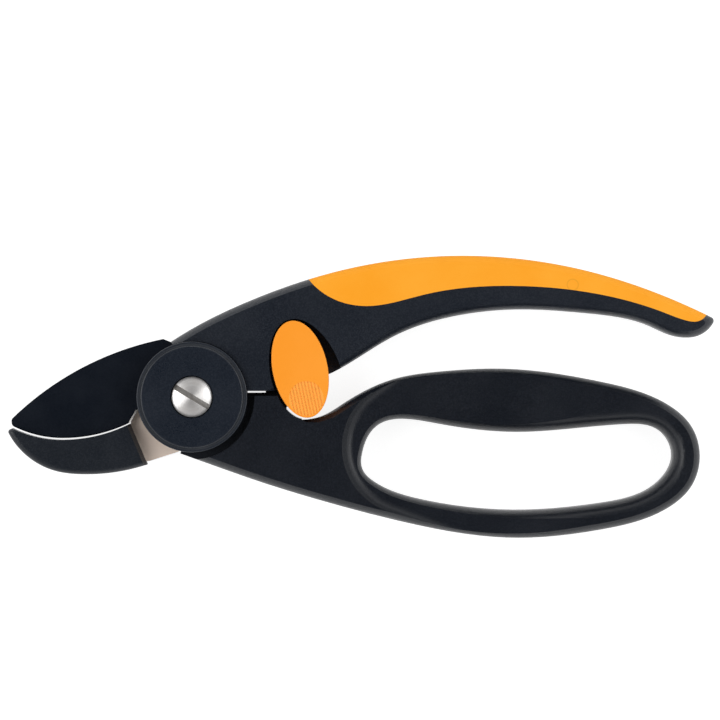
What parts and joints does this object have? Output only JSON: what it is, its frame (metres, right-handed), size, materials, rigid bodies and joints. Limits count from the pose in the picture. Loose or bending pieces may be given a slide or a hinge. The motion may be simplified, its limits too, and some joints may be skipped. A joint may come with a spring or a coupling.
{
  "type": "pruning shears",
  "caption": "Anvil pruning shears with a slim palm handle, a closed finger loop, a round hub with a slotted screw, a curved anvil jaw and an oval thumb lock.",
  "frame": {"origin": "where the pivot axis meets the flat back of the hub, level with the backs of both handles", "axes": "+Z along the pivot axis, from the back to the front; -X towards the jaws, +X towards the handles; +Y towards the palm handle"},
  "size_m": [0.203, 0.0812, 0.0179],
  "materials": {
    "handle_plastic": "matte black fibre-filled nylon with a fine moulded grain",
    "cover_plastic": "matte black nylon",
    "anvil_plastic": "matte black nylon",
    "grip_rubber": "matte orange soft rubber",
    "lever_plastic": "satin orange plastic",
    "pad_rubber": "matte orange soft rubber with fine ribs",
    "buffer_rubber": "black rubber",
    "coated_steel": "black low-friction coating on steel, bright ground edge",
    "bare_steel": "bare ground steel",
    "screw_steel": "turned stainless steel",
    "spring_steel": "plain spring steel",
    "shim_plastic": "natural acetal"
  },
  "bodies": {
    "palm": {"palm_handle": "handle_plastic", "hub_cover": "cover_plastic", "anvil": "anvil_plastic", "soft_grip": "grip_rubber", "anvil_tang": "bare_steel", "pivot_screw": "screw_steel", "pivot_sleeve": "screw_steel", "pivot_nut": "screw_steel", "lock_washer": "spring_steel", "lever_washer": "spring_steel", "return_spring": "spring_steel", "blade_shim": "shim_plastic", "thrust_washer": "shim_plastic"},
    "finger": {"finger_handle": "handle_plastic", "blade": "coated_steel", "stop_buffer": "buffer_rubber"},
    "lever": {"lock_lever": "lever_plastic", "lever_pad": "pad_rubber", "lever_pin": "screw_steel"}
  },
  "joints": [
    {"name": "pivot", "type": "hinge", "parent": "palm", "child": "finger", "pos_m": [0, 0, 0], "axis": [0, 0, -1], "range_deg": [0, 30]},
    {"name": "lock", "type": "hinge", "parent": "palm", "child": "lever", "pos_m": [0.02893, 0.01833, 0], "axis": [0, 0, 1], "range_deg": [-2, 14.5]}
  ]
}
